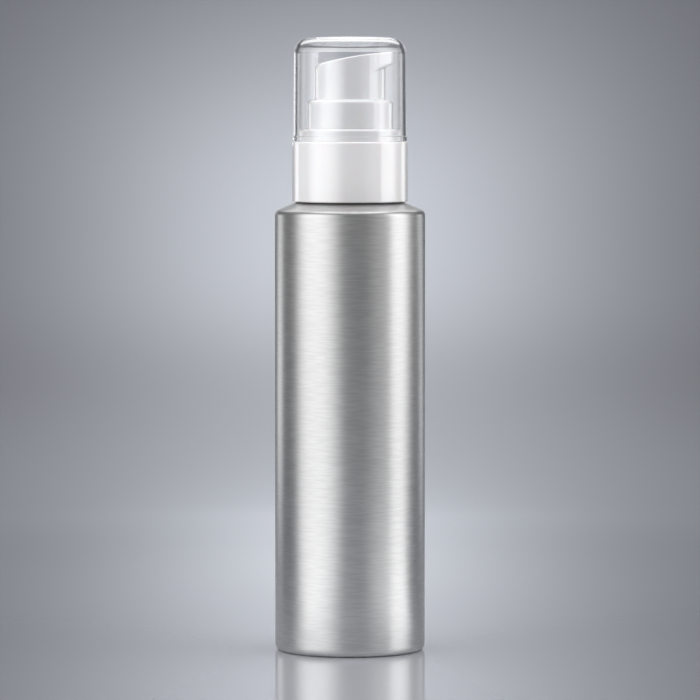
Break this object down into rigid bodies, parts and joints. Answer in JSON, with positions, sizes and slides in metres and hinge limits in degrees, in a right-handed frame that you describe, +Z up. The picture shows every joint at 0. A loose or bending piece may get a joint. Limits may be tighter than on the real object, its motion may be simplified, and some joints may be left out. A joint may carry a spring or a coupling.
{
  "type": "aluminium pump bottle",
  "caption": "Upright brushed aluminium bottle with a white screw-on lotion pump, whose press head with a short beak nozzle stands under a clear pull-off overcap.",
  "frame": {"origin": "middle of the bottle's foot ring, on the surface that it stands on", "axes": "+Z up along the bottle's axis, +X the way the nozzle points"},
  "size_m": [0.04, 0.04, 0.1635],
  "materials": {
    "brushed_aluminium": "fine brushing round the body, clear lacquer",
    "white_plastic": "glossy moulded polypropylene",
    "clear_plastic": "clear glossy styrene",
    "milky_plastic": "translucent natural polyethylene",
    "gasket_foam": "closed-cell foam",
    "spring_steel": "drawn stainless wire",
    "polished_steel": "polished stainless ball"
  },
  "bodies": {
    "bottle": {"bottle": "brushed_aluminium"},
    "pump_engine": {"pump_housing": "milky_plastic", "neck_gasket": "gasket_foam", "chaplet": "white_plastic", "dip_tube": "milky_plastic", "return_spring": "spring_steel"},
    "closure": {"screw_closure": "white_plastic", "collar_sleeve": "white_plastic"},
    "overcap": {"overcap": "clear_plastic"},
    "plunger": {"stem": "milky_plastic", "piston_rod": "white_plastic"},
    "press_head": {"actuator": "white_plastic"},
    "piston": {"piston": "milky_plastic"},
    "inlet_ball": {"inlet_ball": "polished_steel"}
  },
  "joints": [
    {"name": "pump_lift", "type": "slide", "parent": "bottle", "child": "pump_engine", "axis": [0, 0, 1], "range_m": [0, 0.0039]},
    {"name": "closure_turn", "type": "hinge", "parent": "pump_engine", "child": "closure", "pos_m": [0, 0, 0.1295], "axis": [0, 0, 1], "range_deg": [0, 443]},
    {"name": "overcap_lift", "type": "slide", "parent": "closure", "child": "overcap", "axis": [0, 0, 1], "range_m": [0, 0.04]},
    {"name": "press_stroke", "type": "slide", "parent": "pump_engine", "child": "plunger", "axis": [0, 0, 1], "range_m": [-0.005, 0], "stiffness_N_per_m": 1200, "springref_m": 0.0035, "deforming": ["return_spring"]},
    {"name": "piston_stroke", "type": "slide", "parent": "pump_engine", "child": "piston", "axis": [0, 0, 1], "range_m": [-0.0042, 0]},
    {"name": "head_swivel", "type": "hinge", "parent": "plunger", "child": "press_head", "pos_m": [0, 0, 0.15], "axis": [0, 0, 1], "continuous": true},
    {"name": "ball_lift", "type": "slide", "parent": "pump_engine", "child": "inlet_ball", "axis": [0, 0, 1], "range_m": [0, 0.0007]}
  ],
  "couplings": [
    {"joint": "closure_turn", "follows": "pump_lift", "rad_per_m": 1979},
    {"joint": "piston_stroke", "follows": "press_stroke", "ratio": 0.84}
  ]
}
